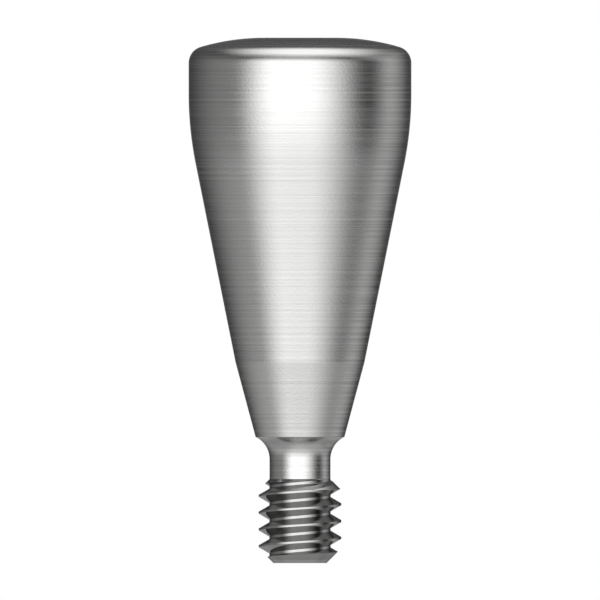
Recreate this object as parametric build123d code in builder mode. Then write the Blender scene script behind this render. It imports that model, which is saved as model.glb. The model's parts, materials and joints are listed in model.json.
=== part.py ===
"""Healing abutment for a dental implant, turned in one piece from titanium alloy bar.

From the bottom up it has a short metric screw, a plain neck with a cove under the body, a seat cone
that wedges in the implant, and a long flared head with a shallow domed top. A hexagon socket in the
top takes the driver. The screw points down, its axis is Z, and the origin is the centre of its tip.
"""

import os
from math import radians, sqrt, tan

from build123d import *

# Screw, in millimetres
thread_major_diameter = 1.97
thread_pitch = 0.4
thread_length = 2.0
thread_angle = 60.0
thread_crest_flat = 0.045
thread_root_flat = 0.06
tip_diameter = 1.265

# Neck, with the cove that joins it to the body
neck_diameter = 1.45
neck_length = 1.0
cove_radius = 0.58

# Seat cone, with its angle measured from the axis
seat_diameter = 3.07
seat_length = 1.78
seat_angle = 15.0

# Head: the flare runs straight up to the widest diameter, where a long arc blends the corner away
head_diameter = 5.3
head_height = 7.72
flare_height = 5.55
flare_blend_radius = 8.35

# Domed top around its small flat, with a rounded rim
top_flat_diameter = 1.71
dome_radius = 5.35
rim_radius = 0.4

# Driver socket: a hexagon on the cone that the drill left, with a countersunk mouth
socket_across_flats = 1.25
socket_depth = 1.8
socket_mouth_diameter = 1.57
socket_mouth_angle = 90.0
drill_point_angle = 118.0

# Heights above the tip
neck_top = thread_length + neck_length
seat_top = neck_top + seat_length
flare_top = seat_top + flare_height
head_top = seat_top + head_height

# Radii
major_radius = thread_major_diameter / 2
tip_radius = tip_diameter / 2
neck_radius = neck_diameter / 2
seat_radius = seat_diameter / 2
seat_foot_radius = seat_radius - seat_length * tan(radians(seat_angle))
head_radius = head_diameter / 2
top_flat_radius = top_flat_diameter / 2
socket_mouth_radius = socket_mouth_diameter / 2

# Thread groove between two flanks, which run a little past the crests so that the cut is clean
flank_slope = tan(radians(thread_angle / 2))
thread_depth = (thread_pitch - thread_crest_flat - thread_root_flat) / 2 / flank_slope
root_radius = major_radius - thread_depth
groove_mouth = thread_pitch - thread_crest_flat / 2
groove_mouth_radius = major_radius + thread_crest_flat / 4 / flank_slope

# The cove is an arc tangent to the neck that ends on the sharp foot of the seat cone
cove_reach = neck_radius + cove_radius - seat_foot_radius
cove_bottom = neck_top - sqrt(cove_radius**2 - cove_reach**2)

# The dome is an arc tangent to the flat, drawn out to the corner that the rim radius takes off
dome_edge = head_top - dome_radius + sqrt(dome_radius**2 - (head_radius - top_flat_radius) ** 2)

# Depths of the cones at the two ends of the socket
socket_mouth_depth = socket_mouth_radius / tan(radians(socket_mouth_angle / 2))
drill_point_depth = socket_across_flats / 2 / tan(radians(drill_point_angle / 2))


with BuildPart() as healing_abutment:
    # Screw blank, with a 45 degree chamfer at the tip and one where it meets the neck
    with BuildSketch(Plane.XZ):
        with BuildLine():
            Polyline(
                (0, 0),
                (tip_radius, 0),
                (major_radius, major_radius - tip_radius),
                (major_radius, thread_length - (major_radius - neck_radius)),
                (neck_radius, thread_length),
                (0, thread_length),
                close=True,
            )
        make_face()
    revolve(axis=Axis.Z)

    # Right-hand groove, from one pitch below the tip to one pitch above the last crest
    with BuildLine() as groove_path:
        Helix(
            pitch=thread_pitch,
            height=thread_length + 2 * thread_pitch,
            radius=root_radius,
            center=(0, 0, -thread_pitch),
        )
    with BuildSketch(Plane.XZ):
        with BuildLine():
            Polyline(
                (root_radius, -thread_pitch - thread_root_flat / 2),
                (groove_mouth_radius, -thread_pitch - groove_mouth / 2),
                (groove_mouth_radius, -thread_pitch + groove_mouth / 2),
                (root_radius, -thread_pitch + thread_root_flat / 2),
                close=True,
            )
        make_face()
    sweep(path=groove_path.line, is_frenet=True, mode=Mode.SUBTRACT)

    # Neck, cove, seat cone, flare and dome in one turned profile
    with BuildSketch(Plane.XZ) as body_profile:
        with BuildLine():
            Line((0, thread_length), (neck_radius, thread_length))
            Line((neck_radius, thread_length), (neck_radius, cove_bottom))
            RadiusArc((neck_radius, cove_bottom), (seat_foot_radius, neck_top), cove_radius)
            Line((seat_foot_radius, neck_top), (seat_radius, seat_top))
            Line((seat_radius, seat_top), (head_radius, flare_top))
            Line((head_radius, flare_top), (head_radius, dome_edge))
            RadiusArc((head_radius, dome_edge), (top_flat_radius, head_top), -dome_radius)
            Line((top_flat_radius, head_top), (0, head_top))
            Line((0, head_top), (0, thread_length))
        make_face()
        # The two corners on the widest diameter: the lower one blends the flare, the upper is the rim
        fillet(body_profile.vertices().group_by(Axis.X)[-1].sort_by(Axis.Y)[0], flare_blend_radius)
        fillet(body_profile.vertices().group_by(Axis.X)[-1].sort_by(Axis.Y)[-1], rim_radius)
    revolve(axis=Axis.Z)

    # Driver socket
    with BuildSketch(Plane.XY.offset(head_top)):
        RegularPolygon(socket_across_flats / 2, side_count=6, major_radius=False)
    extrude(amount=-socket_depth, mode=Mode.SUBTRACT)
    with BuildSketch(Plane.XZ):
        with BuildLine():
            Polyline(
                (0, head_top),
                (socket_mouth_radius, head_top),
                (0, head_top - socket_mouth_depth),
                close=True,
            )
        make_face()
        with BuildLine():
            Polyline(
                (0, head_top - socket_depth),
                (socket_across_flats / 2, head_top - socket_depth),
                (0, head_top - socket_depth - drill_point_depth),
                close=True,
            )
        make_face()
    revolve(axis=Axis.Z, mode=Mode.SUBTRACT)
healing_abutment.part.label = "healing_abutment"

os.makedirs("parts", exist_ok=True)
export_step(healing_abutment.part, "parts/healing_abutment.step")
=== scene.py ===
"""Looks of a dental healing abutment: one piece of turned titanium, in soft light on a pale floor."""

import json
from math import acos, pi, radians, sqrt, tan

import bmesh
import bpy
import numpy as np
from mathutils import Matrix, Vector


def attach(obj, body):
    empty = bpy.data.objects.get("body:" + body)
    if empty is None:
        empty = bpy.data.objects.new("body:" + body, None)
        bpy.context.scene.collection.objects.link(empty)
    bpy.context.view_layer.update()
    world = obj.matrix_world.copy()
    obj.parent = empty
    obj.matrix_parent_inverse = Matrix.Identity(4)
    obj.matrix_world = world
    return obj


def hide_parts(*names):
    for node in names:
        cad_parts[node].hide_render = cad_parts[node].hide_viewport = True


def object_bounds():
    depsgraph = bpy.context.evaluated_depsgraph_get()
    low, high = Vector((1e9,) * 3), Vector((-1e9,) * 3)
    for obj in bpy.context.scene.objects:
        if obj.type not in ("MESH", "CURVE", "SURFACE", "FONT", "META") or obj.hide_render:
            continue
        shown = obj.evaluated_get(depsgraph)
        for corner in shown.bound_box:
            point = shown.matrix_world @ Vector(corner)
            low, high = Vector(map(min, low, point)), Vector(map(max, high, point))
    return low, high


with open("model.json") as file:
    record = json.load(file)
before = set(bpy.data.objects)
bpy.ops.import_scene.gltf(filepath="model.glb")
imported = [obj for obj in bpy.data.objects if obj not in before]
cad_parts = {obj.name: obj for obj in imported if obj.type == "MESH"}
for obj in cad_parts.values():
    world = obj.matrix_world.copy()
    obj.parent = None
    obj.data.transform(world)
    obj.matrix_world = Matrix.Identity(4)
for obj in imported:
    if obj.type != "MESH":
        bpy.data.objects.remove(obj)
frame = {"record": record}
cad_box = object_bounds()

# Body: turned from titanium alloy bar on a sliding-head lathe, from the plain neck up to the domed top.
# The edge tools leave a cove at the neck and a rounded rim, and the fine feed leaves rings all round.
# Its outline is read from bottom to top as radius and height, in millimetres.
MM = 0.001
mounts = {mount["name"]: mount for mount in frame["record"]["mounts"]}
thread_size, seat_size = mounts["implant_thread"]["dims"], mounts["seat_cone"]["dims"]
head_radius = cad_box[1].x / MM
head_top = cad_box[1].z / MM
top_flat_radius = 0.855
dome_radius = 5.35
rim_radius = 0.4
flare_blend_radius = 8.35
flare_corner_height = 10.33
seat_kink_radius = 1.0
seat_foot_height = mounts["seat_cone"]["pos_m"][2] / MM
seat_angle = radians(15)
cove_radius = 0.58
neck_radius = 0.725
thread_length = thread_size["length_mm"]

columns_round = 288
lead = 0.012


def straight(start, end):
    """A straight stretch of outline, with a point just inside each end that keeps its shading straight."""
    start, end = np.array(start), np.array(end)
    step_in = (end - start) * lead / np.linalg.norm(end - start)
    return np.array([start, start + step_in, end - step_in, end])


def arc(centre, radius, first, last, steps):
    """Points on a circle: the centre plus the radius turned from the first angle to the last."""
    angle = np.linspace(first, last, steps + 1)[:, None]
    return np.array(centre) + radius * np.hstack([np.cos(angle), np.sin(angle)])


def corner(before, at, after, radius, steps):
    """The arc that rounds a corner: it touches both legs at the radius times the tangent of half the turn,
    and turns about a centre one radius to the side."""
    before, at, after = np.array(before), np.array(at), np.array(after)
    inward = (at - before) / np.linalg.norm(at - before)
    outward = (after - at) / np.linalg.norm(after - at)
    turn = acos(np.clip(inward @ outward, -1, 1))
    side = np.sign(inward[0] * outward[1] - inward[1] * outward[0])
    touch = at - inward * radius * tan(turn / 2)
    centre = touch + side * radius * np.array([-inward[1], inward[0]])
    first = np.arctan2(*(touch - centre)[::-1])
    return arc(centre, radius, first, first + side * turn, steps)


seat_foot = np.array([seat_size["r_mm"], seat_foot_height])
seat_top = seat_foot + seat_size["length_mm"] * np.array([tan(seat_angle), 1])
flare_corner = np.array([head_radius, flare_corner_height])
cove_reach = neck_radius + cove_radius - seat_foot[0]
cove_bottom = seat_foot_height - sqrt(cove_radius**2 - cove_reach**2)
cove_centre = [neck_radius + cove_radius, cove_bottom]
rim_reach = head_radius - rim_radius - top_flat_radius
rim_rise = sqrt((dome_radius - rim_radius) ** 2 - rim_reach**2)
rim_angle = acos(rim_reach / (dome_radius - rim_radius))
dome_centre = np.array([top_flat_radius, head_top - dome_radius])
rim_centre = dome_centre + [rim_reach, rim_rise]

cove = arc(cove_centre, cove_radius, pi, pi - acos(cove_reach / cove_radius), 20)
seat_kink = corner(seat_foot, seat_top, flare_corner, seat_kink_radius, 4)
flare_blend = corner(seat_top, flare_corner, [head_radius, head_top], flare_blend_radius, 20)
rim = arc(rim_centre, rim_radius, 0, rim_angle, 16)
dome = arc(dome_centre, dome_radius, rim_angle, pi / 2, 20)
body_outline = np.vstack(
    [
        straight([neck_radius, thread_length], cove[0]),
        cove,
        straight(cove[-1], seat_kink[0]),
        seat_kink,
        straight(seat_kink[-1], flare_blend[0]),
        flare_blend,
        straight(flare_blend[-1], rim[0]),
        rim,
        dome,
    ]
)


def turned(radius, height):
    """A surface round the axis on a grid of rows and columns: x and y are the radius times the cosine and
    sine of the column's angle, and z is the height. Radius and height may change with row and column."""
    angle = np.linspace(0, 2 * pi, columns_round + 1)
    radius, height, angle = np.broadcast_arrays(radius, height, angle)
    points = np.stack([radius * np.cos(angle), radius * np.sin(angle), height], axis=-1) * MM
    first = np.arange(len(radius) - 1)[:, None] * (columns_round + 1) + np.arange(columns_round)
    above = first + columns_round + 1
    quads = np.stack([first, first + 1, above + 1, above], axis=-1)
    return points.reshape(-1, 3), quads.reshape(-1, 4)


body = turned(body_outline[:, :1], body_outline[:, 1:])


def colour(code):
    """An sRGB hex code as linear red, green, blue and alpha."""
    part = np.array([int(code[i : i + 2], 16) / 255 for i in (1, 3, 5)])
    linear = np.where(part <= 0.04045, part / 12.92, ((part + 0.055) / 1.055) ** 2.4)
    return (*linear, 1.0)


def add(tree, kind, settings=None, **inputs):
    """Adds a shader node. Settings are its own values. Each input is named by its socket, or by _ and the
    socket's number, and gets a value or the output that is linked to it."""
    node = tree.nodes.new("ShaderNode" + kind)
    for key, value in (settings or {}).items():
        setattr(node, key, value)
    for key, value in inputs.items():
        socket = node.inputs[int(key[1:])] if key[0] == "_" else node.inputs[key.replace("_", " ")]
        if isinstance(value, bpy.types.NodeSocket):
            tree.links.new(value, socket)
        else:
            socket.default_value = value
    return node


def new_material(name):
    """An empty material and its node tree."""
    material = bpy.data.materials.new(name)
    material.use_nodes = True
    material.node_tree.nodes.clear()
    return material, material.node_tree


# Turned titanium: the tool leaves rings round the axis, which show as long level lines on the sides and as
# circles on the dome. Bright rings are rubbed duller by the cloth that finishes the part, and a second set
# differs in gloss alone. The rings differ in tone, and on the right side and at the back that difference is
# drawn stronger, as a painted sheen on the rings there. A fine grain breaks up the edges of what they
# mirror.
# The real feed is about 0.03 mm and the real grain finer still, and both are drawn coarser, so that they
# show at the photo's size. Each pattern has a height across the rings and a length along them, and the
# grain lies askew, so that its grid doesn't show.
ring_height, ring_length = 0.056 * MM, 50 * MM
wear_height, wear_length = 0.1 * MM, 2 * MM
cloth_height, cloth_length = 0.07 * MM, 16 * MM
cloth_shift = (7, 3, 5)
grain_size = 0.06 * MM
grain_tilt = (0.6, 0.4, 0.8)
ridge_height = 0.002 * MM
ridge_strength = 0.08
grain_share = 16.0
ridge_reach = 0.28
least_kept = 0.35
# The side where the rings' tone is drawn stronger as a painted sheen, and how much stronger it is drawn
painted_sheen_side = (0.87, 0.5, 0)
painted_sheen_contrast = 3.4
least_dull, most_dull = 0.02, 0.14
cloth_dulling = 0.32
turned_titanium, tree = new_material("turned_titanium")
place = add(tree, "TexCoord").outputs["Object"]
parts = add(tree, "SeparateXYZ", Vector=place).outputs
level_place = add(tree, "Mapping", Vector=place, Scale=(1, 1, 0)).outputs[0]
from_axis = add(tree, "VectorMath", {"operation": "LENGTH"}, _0=level_place).outputs["Value"]
# Height less distance from the axis changes across the rings, on the sides and on the dome alike
across = add(tree, "Math", {"operation": "SUBTRACT"}, _0=parts["Z"], _1=from_axis).outputs[0]
path = add(tree, "CombineXYZ", X=parts["X"], Y=parts["Y"], Z=across).outputs[0]

ring_scale = (1 / ring_length, 1 / ring_length, 1 / ring_height)
ring_place = add(tree, "Mapping", Vector=path, Scale=ring_scale).outputs[0]
rings = add(tree, "TexNoise", Vector=ring_place, Scale=1.0, Detail=2.0, Roughness=0.8).outputs[0]
wear_scale = (1 / wear_length, 1 / wear_length, 1 / wear_height)
wear_place = add(tree, "Mapping", Vector=path, Scale=wear_scale).outputs[0]
worn = add(tree, "TexNoise", Vector=wear_place, Scale=1.0, Detail=2.0, Roughness=0.6).outputs[0]
kept = add(tree, "MapRange", Value=worn, From_Min=0.35, From_Max=0.65, To_Min=least_kept).outputs[0]
raised = add(tree, "MapRange", {"clamp": False}, Value=rings, From_Min=0.5).outputs[0]
ridges = add(tree, "Math", {"operation": "MULTIPLY"}, _0=raised, _1=kept).outputs[0]

# 1 where the skin faces the right side and the back, where the rings' tone carries a painted sheen
outward = add(tree, "VectorMath", {"operation": "NORMALIZE"}, _0=level_place).outputs[0]
facing = add(tree, "VectorMath", {"operation": "DOT_PRODUCT"}, _0=outward, _1=painted_sheen_side).outputs["Value"]
gentle = {"interpolation_type": "SMOOTHSTEP"}
# The rings' tone is drawn up to this much stronger there: painted sheen, not a finish of the metal
painted_sheen_edge = {"From_Min": 0.2, "From_Max": 0.42, "To_Min": 1.0, "To_Max": painted_sheen_contrast}
painted_sheen = add(tree, "MapRange", gentle, Value=facing, **painted_sheen_edge).outputs[0]
shades = add(tree, "Math", {"operation": "MULTIPLY"}, _0=ridges, _1=painted_sheen).outputs[0]
ridge_span = {"From_Min": -ridge_reach, "From_Max": ridge_reach}
tone = add(tree, "MapRange", Value=shades, **ridge_span).outputs[0]
light_grey, dark_grey = colour("#D2D2D1"), colour("#B7B7B6")
base = add(tree, "Mix", {"data_type": "RGBA"}, _0=tone, _6=dark_grey, _7=light_grey).outputs[2]
dulled = add(tree, "MapRange", Value=ridges, To_Min=least_dull, To_Max=most_dull, **ridge_span).outputs[0]
cloth_scale = (1 / cloth_length, 1 / cloth_length, 1 / cloth_height)
cloth_place = add(tree, "Mapping", Vector=path, Location=cloth_shift, Scale=cloth_scale).outputs[0]
marks = add(tree, "TexNoise", Vector=cloth_place, Scale=1.0, Detail=2.0, Roughness=0.7).outputs[0]
gloss = add(tree, "Math", {"operation": "MULTIPLY_ADD"}, _0=marks, _1=cloth_dulling, _2=dulled).outputs[0]
grain_place = add(tree, "Mapping", Vector=place, Rotation=grain_tilt).outputs[0]
grain = add(tree, "TexNoise", Vector=grain_place, Scale=1 / grain_size, Detail=2.0).outputs[0]
height = add(tree, "Math", {"operation": "MULTIPLY_ADD"}, _0=grain, _1=grain_share, _2=ridges).outputs[0]
bump = add(tree, "Bump", Strength=ridge_strength, Distance=ridge_height, Height=height).outputs[0]
skin = add(tree, "BsdfPrincipled", Base_Color=base, Metallic=1.0, Roughness=gloss, Normal=bump)
add(tree, "OutputMaterial", Surface=skin.outputs[0])

# Screw: a right-hand M2 x 0.4 thread, single-point cut with 60 degree flanks and then polished.
# Both ends are chamfered at 45 degrees, so the first and last turns start and run out as thin wedges.
thread_radius = thread_size["r_mm"]
thread_pitch = 0.4
crest_flat = 0.045
root_flat = 0.06
thread_depth = (thread_pitch - crest_flat - root_flat) / 2 / tan(radians(30))
root_radius = thread_radius - thread_depth
tip_radius = 0.6325
rows_per_side = 3


def chamfers(height):
    """The radius that the two 45 degree chamfers leave: it grows by as much as the height above the tip,
    and shrinks to the neck by as much as the height nears the top of the thread."""
    return np.minimum(tip_radius + height, neck_radius + thread_length - height)


def thread():
    """The thread's outline has four corners a turn, at the ends of its root and crest flats, and each
    column lifts them by its share of the pitch. Between two corners a point lies on the straight line that
    joins them or, where that is nearer the axis, on a chamfer. One row follows the crossing of line and
    chamfer, as the cut edge does."""
    turns = np.arange(-2, round(thread_length / thread_pitch) + 1)[:, None] * thread_pitch
    root_half, crest_half, half_pitch = root_flat / 2, crest_flat / 2, thread_pitch / 2
    foot, top = [root_half, half_pitch - crest_half], [half_pitch + crest_half, thread_pitch - root_half]
    lift = thread_pitch * np.linspace(0, 1, columns_round + 1)
    corner_height = (turns + np.array(foot + top)).ravel()[:, None] + lift
    corner_radius = np.tile([root_radius, thread_radius, thread_radius, root_radius], len(turns))[:, None]
    corner_radius = corner_radius + 0 * corner_height

    excess = corner_radius - chamfers(corner_height)
    before, after = excess[:-1, None], excess[1:, None]
    crosses = before * after < 0
    crossing = np.where(crosses, before / np.where(crosses, before - after, 1), 0.5)
    step = np.arange(rows_per_side)[:, None] / rows_per_side
    share = np.concatenate([crossing * step, crossing + (1 - crossing) * step], axis=1)
    height = corner_height[:-1, None] * (1 - share) + corner_height[1:, None] * share
    radius = corner_radius[:-1, None] * (1 - share) + corner_radius[1:, None] * share
    height = np.clip(height.reshape(-1, columns_round + 1), 0, thread_length)
    return turned(np.minimum(radius.reshape(-1, columns_round + 1), chamfers(height)), height)


screw = thread()
tip = turned(np.array([[0], [tip_radius - lead], [tip_radius]]), np.zeros((3, 1)))

# Polished titanium: the cut thread is electropolished, so it mirrors the studio sharply. Faint lines of the
# tool stay along it. The crests and roots are drawn darker than the flanks, as painted shade that dims
# their glints, and the faced end inside the thread is brightest.
line_height, line_length = 0.04 * MM, 5 * MM
line_strength = 0.1
least_dull, line_dull = 0.05, 0.04
blend_start, blend_end = 0.04, 0.01
end_blend = 0.03
polished_titanium, tree = new_material("polished_titanium")
place = add(tree, "TexCoord").outputs["Object"]
line_scale = (1 / line_length, 1 / line_length, 1 / line_height)
line_place = add(tree, "Mapping", Vector=place, Scale=line_scale).outputs[0]
lines = add(tree, "TexNoise", Vector=line_place, Scale=1.0, Detail=2.0, Roughness=0.7).outputs[0]
level_place = add(tree, "Mapping", Vector=place, Scale=(1 / MM, 1 / MM, 0)).outputs[0]
from_axis = add(tree, "VectorMath", {"operation": "LENGTH"}, _0=level_place).outputs["Value"]
start, full = thread_radius - blend_start, thread_radius - blend_end
crest = add(tree, "MapRange", Value=from_axis, From_Min=start, From_Max=full).outputs[0]
start, full = root_radius + blend_start, root_radius + blend_end
root = add(tree, "MapRange", Value=from_axis, From_Min=start, From_Max=full).outputs[0]
# Crests and roots, which get the darker grey: painted shade over their glints
narrow = add(tree, "Math", {"operation": "MAXIMUM"}, _0=crest, _1=root).outputs[0]
start, full = root_radius - blend_end, root_radius - end_blend
end = add(tree, "MapRange", Value=from_axis, From_Min=start, From_Max=full).outputs[0]
gloss = add(tree, "Math", {"operation": "MULTIPLY_ADD"}, _0=lines, _1=line_dull, _2=least_dull).outputs[0]
light_grey, dark_grey = colour("#B7B7B6"), colour("#A8A8A7")
# The crests' and roots' grey is darker as painted shade that dims their glints
crest_root_shade_grey, end_grey = colour("#ADADAC"), colour("#C2C2C1")
flank = add(tree, "Mix", {"data_type": "RGBA"}, _0=lines, _6=dark_grey, _7=light_grey).outputs[2]
thread_grey = add(tree, "Mix", {"data_type": "RGBA"}, _0=narrow, _6=flank, _7=crest_root_shade_grey).outputs[2]
base = add(tree, "Mix", {"data_type": "RGBA"}, _0=end, _6=thread_grey, _7=end_grey).outputs[2]
bump = add(tree, "Bump", Strength=line_strength, Distance=ridge_height, Height=lines).outputs[0]
skin = add(tree, "BsdfPrincipled", Base_Color=base, Metallic=1.0, Roughness=gloss, Normal=bump)
add(tree, "OutputMaterial", Surface=skin.outputs[0])

# Driver socket: a hexagon broached into a drilled hole, with a countersunk mouth.
# The drill's cone is left at its bottom. It takes a 1.25 mm driver.
flat_distance = mounts["driver_socket"]["dims"]["r_mm"]
socket_depth = mounts["driver_socket"]["dims"]["length_mm"]
mouth_radius = 0.785
drill_angle = radians(59)

angle = np.linspace(0, 2 * pi, columns_round + 1)
hexagon = flat_distance / np.cos(angle % (pi / 3) - pi / 6)
share = np.array([0, 0.1, 0.5, 0.9, 1])[:, None]
mouth = turned(mouth_radius + (hexagon - mouth_radius) * share, head_top - (mouth_radius - hexagon) * share)
wall_top = head_top - mouth_radius + hexagon
floor_height = head_top - socket_depth
wall = turned(hexagon + 0 * share, wall_top + (floor_height - wall_top) * share)
ledge = turned(hexagon + (flat_distance - hexagon) * share, floor_height + 0 * share)
cone = turned(flat_distance * (1 - share), floor_height - flat_distance / tan(drill_angle) * share)
ring = turned(straight([top_flat_radius, 0], [mouth_radius, 0])[:, :1], np.full((4, 1), head_top))

# Broached titanium: the broach shears the flats in a few strokes, so its marks run along the axis.
# They leave the socket duller than the turned skin, and a little darker.
stroke_width, stroke_length = 0.045 * MM, 2 * MM
stroke_depth = 0.003 * MM
stroke_strength = 0.3
least_dull, most_dull = 0.3, 0.42
broached_titanium, tree = new_material("broached_titanium")
place = add(tree, "TexCoord").outputs["Object"]
stroke_scale = (1 / stroke_width, 1 / stroke_width, 1 / stroke_length)
stroke_place = add(tree, "Mapping", Vector=place, Scale=stroke_scale).outputs[0]
strokes = add(tree, "TexNoise", Vector=stroke_place, Scale=1.0, Detail=2.0, Roughness=0.7).outputs[0]
light_grey, dark_grey = colour("#B6B6B5"), colour("#989897")
base = add(tree, "Mix", {"data_type": "RGBA"}, _0=strokes, _6=dark_grey, _7=light_grey).outputs[2]
depth_gloss = {"From_Min": 0.3, "From_Max": 0.7, "To_Min": most_dull, "To_Max": least_dull}
gloss = add(tree, "MapRange", Value=strokes, **depth_gloss).outputs[0]
bump = add(tree, "Bump", Strength=stroke_strength, Distance=stroke_depth, Height=strokes).outputs[0]
skin = add(tree, "BsdfPrincipled", Base_Color=base, Metallic=1.0, Roughness=gloss, Normal=bump)
add(tree, "OutputMaterial", Surface=skin.outputs[0])

# Whole abutment: body, screw and socket are cut from one bar, so their surfaces are joined into one closed
# skin. Each keeps its own finish, and edges sharper than 10 degrees stay crisp.
finishes = [turned_titanium, polished_titanium, broached_titanium]
surfaces = [tip, screw, body, ring, mouth, wall, ledge, cone]
finish_of = 2 * [polished_titanium] + 3 * [turned_titanium] + 3 * [broached_titanium]
touching = 0.00002 * MM
points = np.vstack([p for p, q in surfaces])
offsets = np.cumsum([0] + [len(p) for p, q in surfaces[:-1]])
quads = np.vstack([q + offset for (p, q), offset in zip(surfaces, offsets)])
finish_number = [finishes.index(material) for material in finish_of]
finish = np.concatenate([np.full(len(q), number) for (p, q), number in zip(surfaces, finish_number)])

mesh = bpy.data.meshes.new("turned_abutment")
mesh.from_pydata(points, [], quads)
mesh.polygons.foreach_set("material_index", finish.astype(np.int32))
skin_mesh = bmesh.new()
skin_mesh.from_mesh(mesh)
bmesh.ops.remove_doubles(skin_mesh, verts=skin_mesh.verts, dist=touching)
bmesh.ops.recalc_face_normals(skin_mesh, faces=skin_mesh.faces)
skin_mesh.to_mesh(mesh)
skin_mesh.free()
mesh.shade_smooth()
mesh.set_sharp_from_angle(angle=radians(10))
for material in finishes:
    mesh.materials.append(material)
abutment = bpy.data.objects.new("turned_abutment", mesh)
bpy.context.scene.collection.objects.link(abutment)
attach(abutment, "root")
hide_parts("healing_abutment")

# Light tent: thin cloth all round the part that glows by itself, in painted patches of light and shade.
# The metal mirrors the patches of light on it, and nothing else sees them. Places on the tent are angles in
# degrees: azimuth is 0 in front, where the camera is, and grows to the right.
tent_radius = 0.6
rings_of_tent, sides_of_tent = 90, 180
middle = np.array([0, 0, head_top / 2 * MM])


def soften(value, dark, bright):
    """Goes from 0 at dark to 1 at bright along the curve 3t^2 - 2t^3, and stays flat beyond them."""
    t = np.clip((value - dark) / (bright - dark), 0, 1)
    return t * t * (3 - 2 * t)


def towards(azimuth, elevation):
    """The unit vector from the part to a place on the tent."""
    a, e = np.radians(azimuth), np.radians(elevation)
    return np.stack([np.sin(a) * np.cos(e), -np.cos(a) * np.cos(e), np.sin(e)], axis=-1)


azimuth, elevation = np.meshgrid(
    np.linspace(-180, 180, sides_of_tent + 1), np.linspace(-90, 90, rings_of_tent + 1)
)
turn = np.abs(azimuth)
lamp_direction = np.array([0.035, -0.1, 0.994])
from_overhead = np.degrees(np.arccos(np.clip(towards(azimuth, elevation) @ lamp_direction, -1, 1)))

# The front patch is brightest and fades downwards. Its right edge leans in towards the top, and its left
# edge closes in low down. The patches at the sides are dimmer, the right one is narrow, and the floor of
# the tent is pale. Elsewhere the cloth glows a little too.
least_glow = 0.06
lean = 0.1 * np.maximum(elevation + 15, 0)
taper = 0.15 * np.maximum(-20 - elevation, 0)
aside = np.maximum(np.maximum(taper - azimuth - 23, 0) / 50, np.maximum(azimuth + lean - 9, 0) / 67)
above = np.maximum(elevation - 4, 0) / 45
apron = (
    0.38 * soften(elevation, -24, 0)
    + 0.38 * soften(elevation, -38, -20)
    + 0.24 * soften(elevation, -92, -34)
)
front = soften(np.hypot(aside, above), 1, 0) * apron
left = (
    soften(azimuth, -159, -85)
    * soften(azimuth, 0, -60)
    * soften(elevation, 50, 5)
    * soften(elevation, -56, -16)
)
right = (
    soften(azimuth, 76, 110)
    * soften(azimuth, 152, 100)
    * soften(elevation, -40, -2)
    * soften(elevation, 36, 12)
)
right_above = (
    soften(azimuth, 40, 85)
    * soften(azimuth, 168, 130)
    * soften(elevation, 5, 30)
    * soften(elevation, 65, 40)
)
right_below = (
    soften(azimuth, 25, 75)
    * soften(azimuth, 112, 86)
    * soften(elevation, -2, -23)
    * soften(elevation, -75, -45)
)
aside_below = (
    soften(turn, 80, 110)
    * soften(turn, 170, 140)
    * soften(elevation, -12, -30)
    * soften(elevation, -64, -44)
)
below = soften(elevation, -6, -34) * (1 - 0.25 * aside_below)
behind = soften(turn, 164, 180) * soften(elevation, 12, -4) * soften(elevation, -60, -30)
behind_above = soften(turn, 110, 160) * soften(elevation, 12, 28) * soften(elevation, 80, 50)
overhead = soften(from_overhead, 57, 13)
glow = (
    least_glow
    + 1.95 * front
    + 1.7 * overhead
    + 0.24 * left
    + 0.56 * right
    + 0.26 * right_above
    + 0.12 * right_below
    + 0.37 * below
    + 0.45 * behind
    + 0.04 * behind_above
)

tent_mesh = bpy.data.meshes.new("light_tent")
first = np.arange(rings_of_tent)[:, None] * (sides_of_tent + 1) + np.arange(sides_of_tent)
next_ring = first + sides_of_tent + 1
faces = np.stack([first, next_ring, next_ring + 1, first + 1], axis=-1).reshape(-1, 4)
cloth_points = middle + tent_radius * towards(azimuth, elevation)
tent_mesh.from_pydata(cloth_points.reshape(-1, 3), [], faces)
glow_of_cloth = tent_mesh.attributes.new("glow", "FLOAT", "POINT")
glow_of_cloth.data.foreach_set("value", glow.ravel().astype(np.float32))
cloth, tree = new_material("lit_tent_cloth")
level = add(tree, "Attribute", {"attribute_name": "glow"}).outputs["Fac"]
shine = add(tree, "Emission", Color=colour("#FFFFFF"), Strength=level)
add(tree, "OutputMaterial", Surface=shine.outputs[0])
tent_mesh.materials.append(cloth)
tent = bpy.data.objects.new("light_tent", tent_mesh)
bpy.context.scene.collection.objects.link(tent)
tent.visible_camera = False
tent.visible_diffuse = False
tent.visible_shadow = False

# Floor: a wide sheet of matt white paper under the tip. It catches the part's shadow, and the metal mirrors
# the tent's cloth in its place, as the light bands of the photo run on down to the screw.
floor_mesh = bpy.data.meshes.new("floor")
reach = 1.5
corners = [(-reach, -reach, 0), (reach, -reach, 0), (reach, reach, 0), (-reach, reach, 0)]
floor_mesh.from_pydata(corners, [], [(0, 1, 2, 3)])
floor = bpy.data.objects.new("floor", floor_mesh)
bpy.context.scene.collection.objects.link(floor)
paper, tree = new_material("matt_white_paper")
sheet = add(tree, "BsdfDiffuse", Color=colour("#F2F2F2"))
add(tree, "OutputMaterial", Surface=sheet.outputs[0])
floor_mesh.materials.append(paper)
floor.visible_glossy = False
floor.visible_shadow = False

# Softboxes: two square lamps outside the tent light the floor and cast the soft shadow. Their own mirror
# images are left to the tent's glow.
lamp_distance = 0.8
lamp_radiance = 2.8


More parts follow.
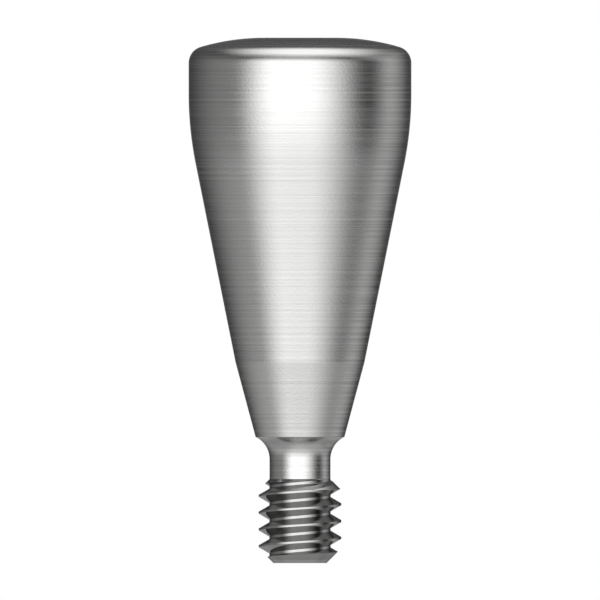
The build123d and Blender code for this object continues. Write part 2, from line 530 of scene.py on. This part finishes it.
def softbox(name, azimuth, elevation, size):
    """A square soft lamp aimed at the part. Its power is its radiance times pi times its area."""
    lamp = bpy.data.lights.new(name, "AREA")
    lamp.size = size
    lamp.energy = lamp_radiance * pi * size**2
    holder = bpy.data.objects.new(name, lamp)
    holder.location = middle + lamp_distance * towards(azimuth, elevation)
    holder.rotation_euler = (pi / 2 - radians(elevation), 0, radians(azimuth))
    holder.visible_glossy = False
    bpy.context.scene.collection.objects.link(holder)


softbox("front_softbox", azimuth=-6, elevation=30, size=0.6)
softbox("overhead_softbox", azimuth=0, elevation=86, size=0.7)

# Room: plain white behind everything that the camera, the metal or glass sees, and dim fill for the floor.
fill_strength = 0.14
world = bpy.data.worlds.new("studio")
bpy.context.scene.world = world
world.use_nodes = True
tree = world.node_tree
tree.nodes.clear()
ray = add(tree, "LightPath").outputs
seen = add(tree, "Math", {"operation": "MAXIMUM"}, _0=ray["Is Camera Ray"], _1=ray["Is Glossy Ray"])
seen = add(tree, "Math", {"operation": "MAXIMUM"}, _0=seen.outputs[0], _1=ray["Is Transmission Ray"])
fill = add(tree, "Background", Color=colour("#FFFFFF"), Strength=fill_strength).outputs[0]
white = add(tree, "Background", Color=colour("#FFFFFF"), Strength=1.0).outputs[0]
mix = add(tree, "MixShader", _0=seen.outputs[0], _1=fill, _2=white)
add(tree, "OutputWorld", Surface=mix.outputs[0])

# Camera: level, straight from the front and without perspective, as the photo is. The photo shows 42.03
# pixels to a millimetre, and its tip stands on row 563.1.
photo_pixels = 600
pixels_per_mm = 42.03
tip_row = 563.1
camera_distance = 0.15
camera_data = bpy.data.cameras.new("camera")
camera_data.type = "ORTHO"
camera_data.ortho_scale = photo_pixels / pixels_per_mm * MM
camera_data.clip_start = 0.001
camera = bpy.data.objects.new("camera", camera_data)
camera.location = (0, -camera_distance, (tip_row - photo_pixels / 2) / pixels_per_mm * MM)
camera.rotation_euler = (pi / 2, 0, 0)
bpy.context.scene.collection.objects.link(camera)
bpy.context.scene.camera = camera
bpy.context.scene.view_settings.view_transform = "Standard"
